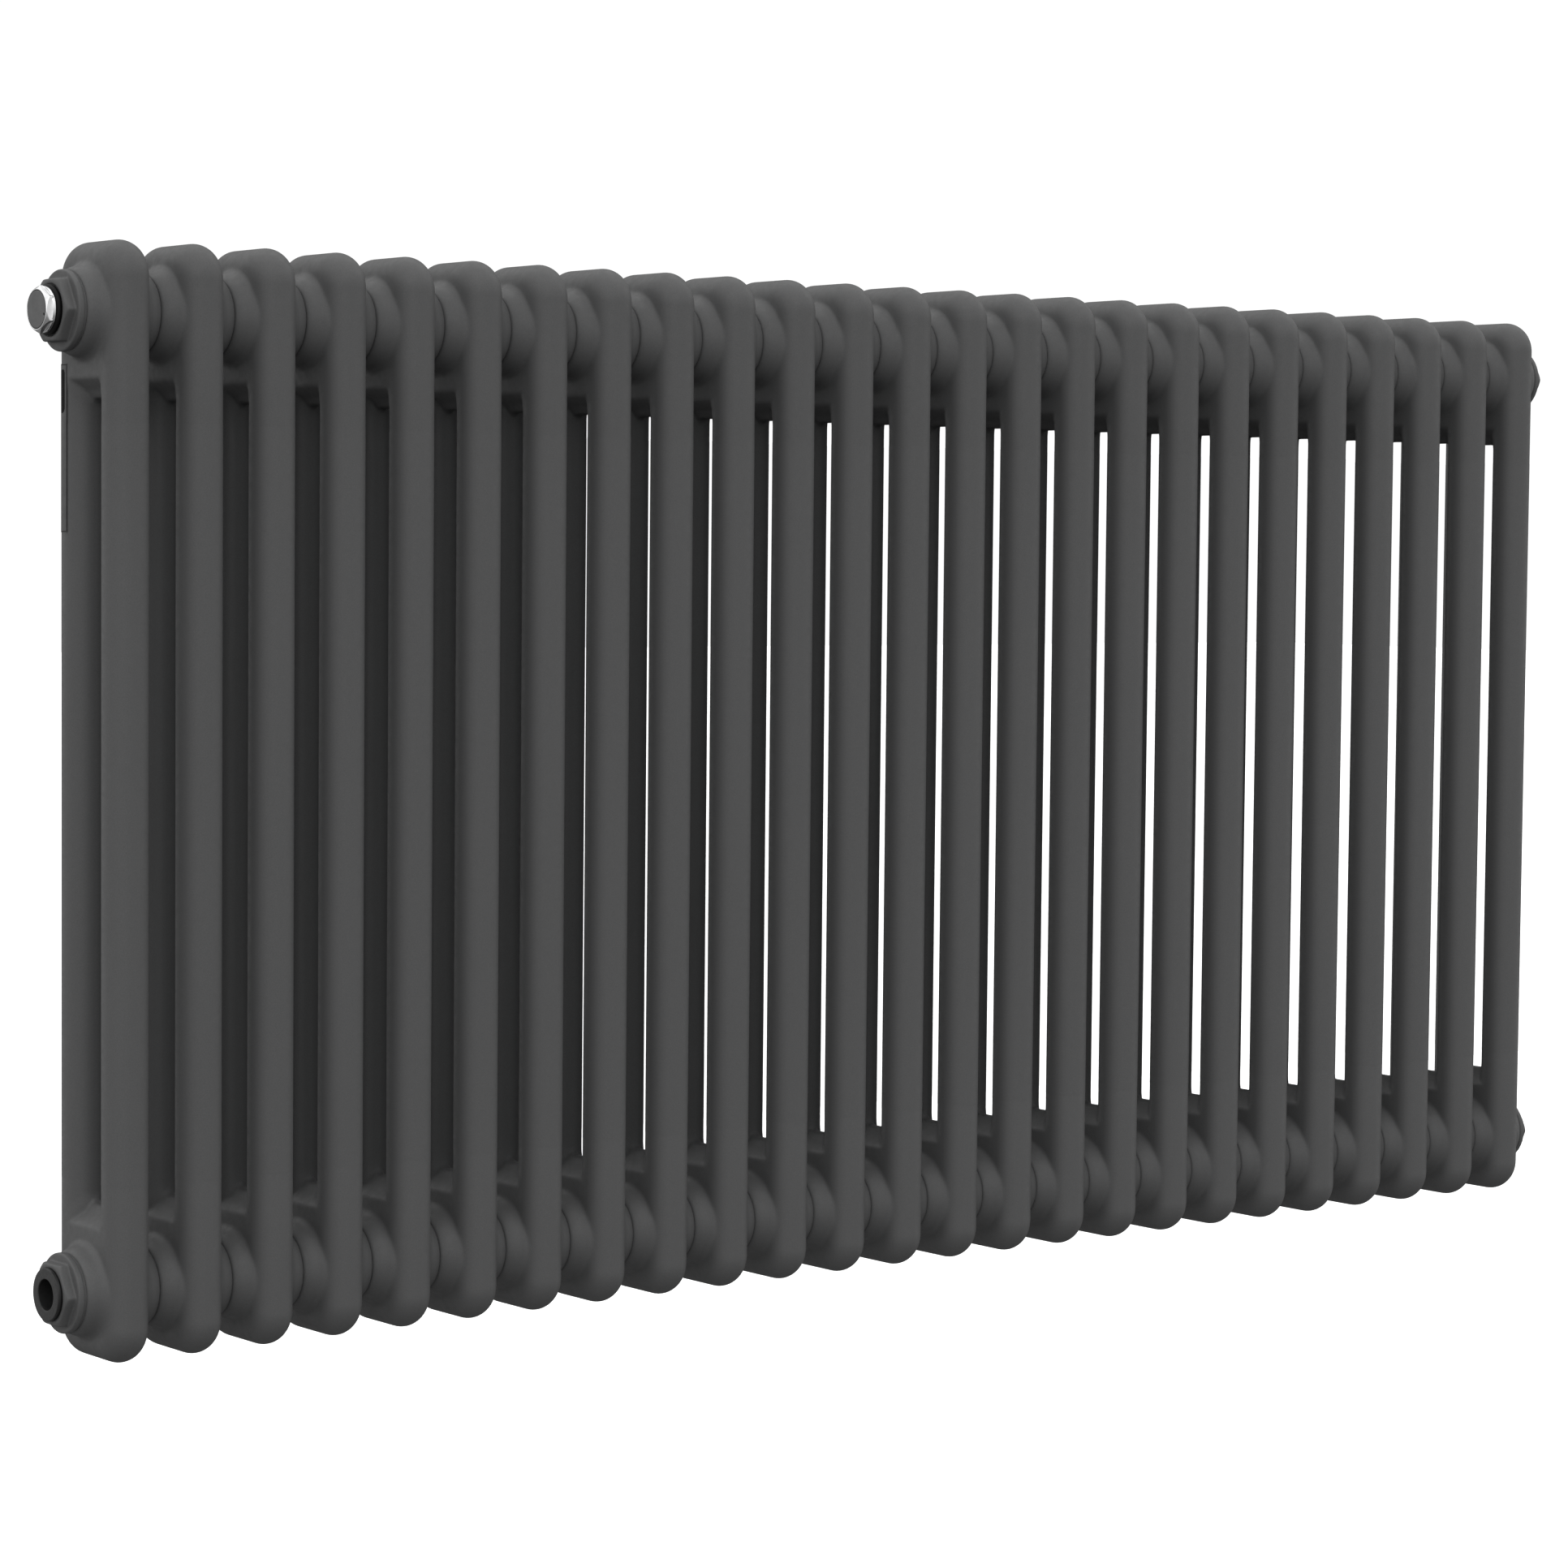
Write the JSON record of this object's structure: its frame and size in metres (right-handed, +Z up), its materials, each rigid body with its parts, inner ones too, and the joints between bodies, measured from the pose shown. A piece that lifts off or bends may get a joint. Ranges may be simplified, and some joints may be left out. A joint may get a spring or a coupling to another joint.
{
  "type": "two-column tubular radiator with air vent",
  "caption": "Horizontal two-column steel tube radiator with hub-joined sections, a chrome air vent at the top left and capped lower inlets.",
  "frame": {"origin": "foot of the heads, at the middle of the row of sections and halfway between its two columns", "axes": "+X along the row of sections towards the blanking plug, +Y from the room to the wall, +Z up"},
  "size_m": [1.1564, 0.069, 0.6],
  "materials": {
    "powder_coat": "satin",
    "bare_steel": "turned",
    "gasket_fibre": "matte",
    "chrome_plate": "polished",
    "seal_rubber": "matte",
    "grey_face": "satin",
    "black_plastic": "satin",
    "label_film": "satin"
  },
  "bodies": {
    "radiator": {"section_01": "powder_coat", "section_02": "powder_coat", "section_03": "powder_coat", "section_04": "powder_coat", "section_05": "powder_coat", "section_06": "powder_coat", "section_07": "powder_coat", "section_08": "powder_coat", "section_09": "powder_coat", "section_10": "powder_coat", "section_11": "powder_coat", "section_12": "powder_coat", "section_13": "powder_coat", "section_14": "powder_coat", "section_15": "powder_coat", "section_16": "powder_coat", "section_17": "powder_coat", "section_18": "powder_coat", "section_19": "powder_coat", "section_20": "powder_coat", "section_21": "powder_coat", "section_22": "powder_coat", "section_23": "powder_coat", "section_24": "powder_coat", "section_25": "powder_coat", "hub_sockets": "bare_steel", "bush_gaskets": "gasket_fibre", "vent_bush": "powder_coat", "inlet_bush_left": "powder_coat", "inlet_bush_right": "powder_coat", "blanking_plug": "powder_coat", "vent_body": "chrome_plate", "vent_o_ring": "seal_rubber", "blank_label": "label_film"},
    "seat_pad": {"bleed_seat_pad": "seal_rubber"},
    "bleed_screw": {"bleed_screw": "grey_face"},
    "cap_left": {"transit_cap_left": "black_plastic"},
    "cap_right": {"transit_cap_right": "black_plastic"}
  },
  "joints": [
    {"name": "bleed_lift", "type": "slide", "parent": "radiator", "child": "seat_pad", "axis": [-1, 0, 0], "range_m": [0, 0.00125]},
    {"name": "bleed_turn", "type": "hinge", "parent": "seat_pad", "child": "bleed_screw", "pos_m": [-0.5625, 0, 0.562], "axis": [-1, 0, 0], "range_deg": [0, 450]},
    {"name": "cap_pull_left", "type": "slide", "parent": "radiator", "child": "cap_left", "axis": [-1, 0, 0], "range_m": [0, 0.06]},
    {"name": "cap_pull_right", "type": "slide", "parent": "radiator", "child": "cap_right", "axis": [1, 0, 0], "range_m": [0, 0.06]}
  ],
  "couplings": [
    {"joint": "bleed_lift", "follows": "bleed_turn", "m_per_rad": 0.00015915}
  ]
}
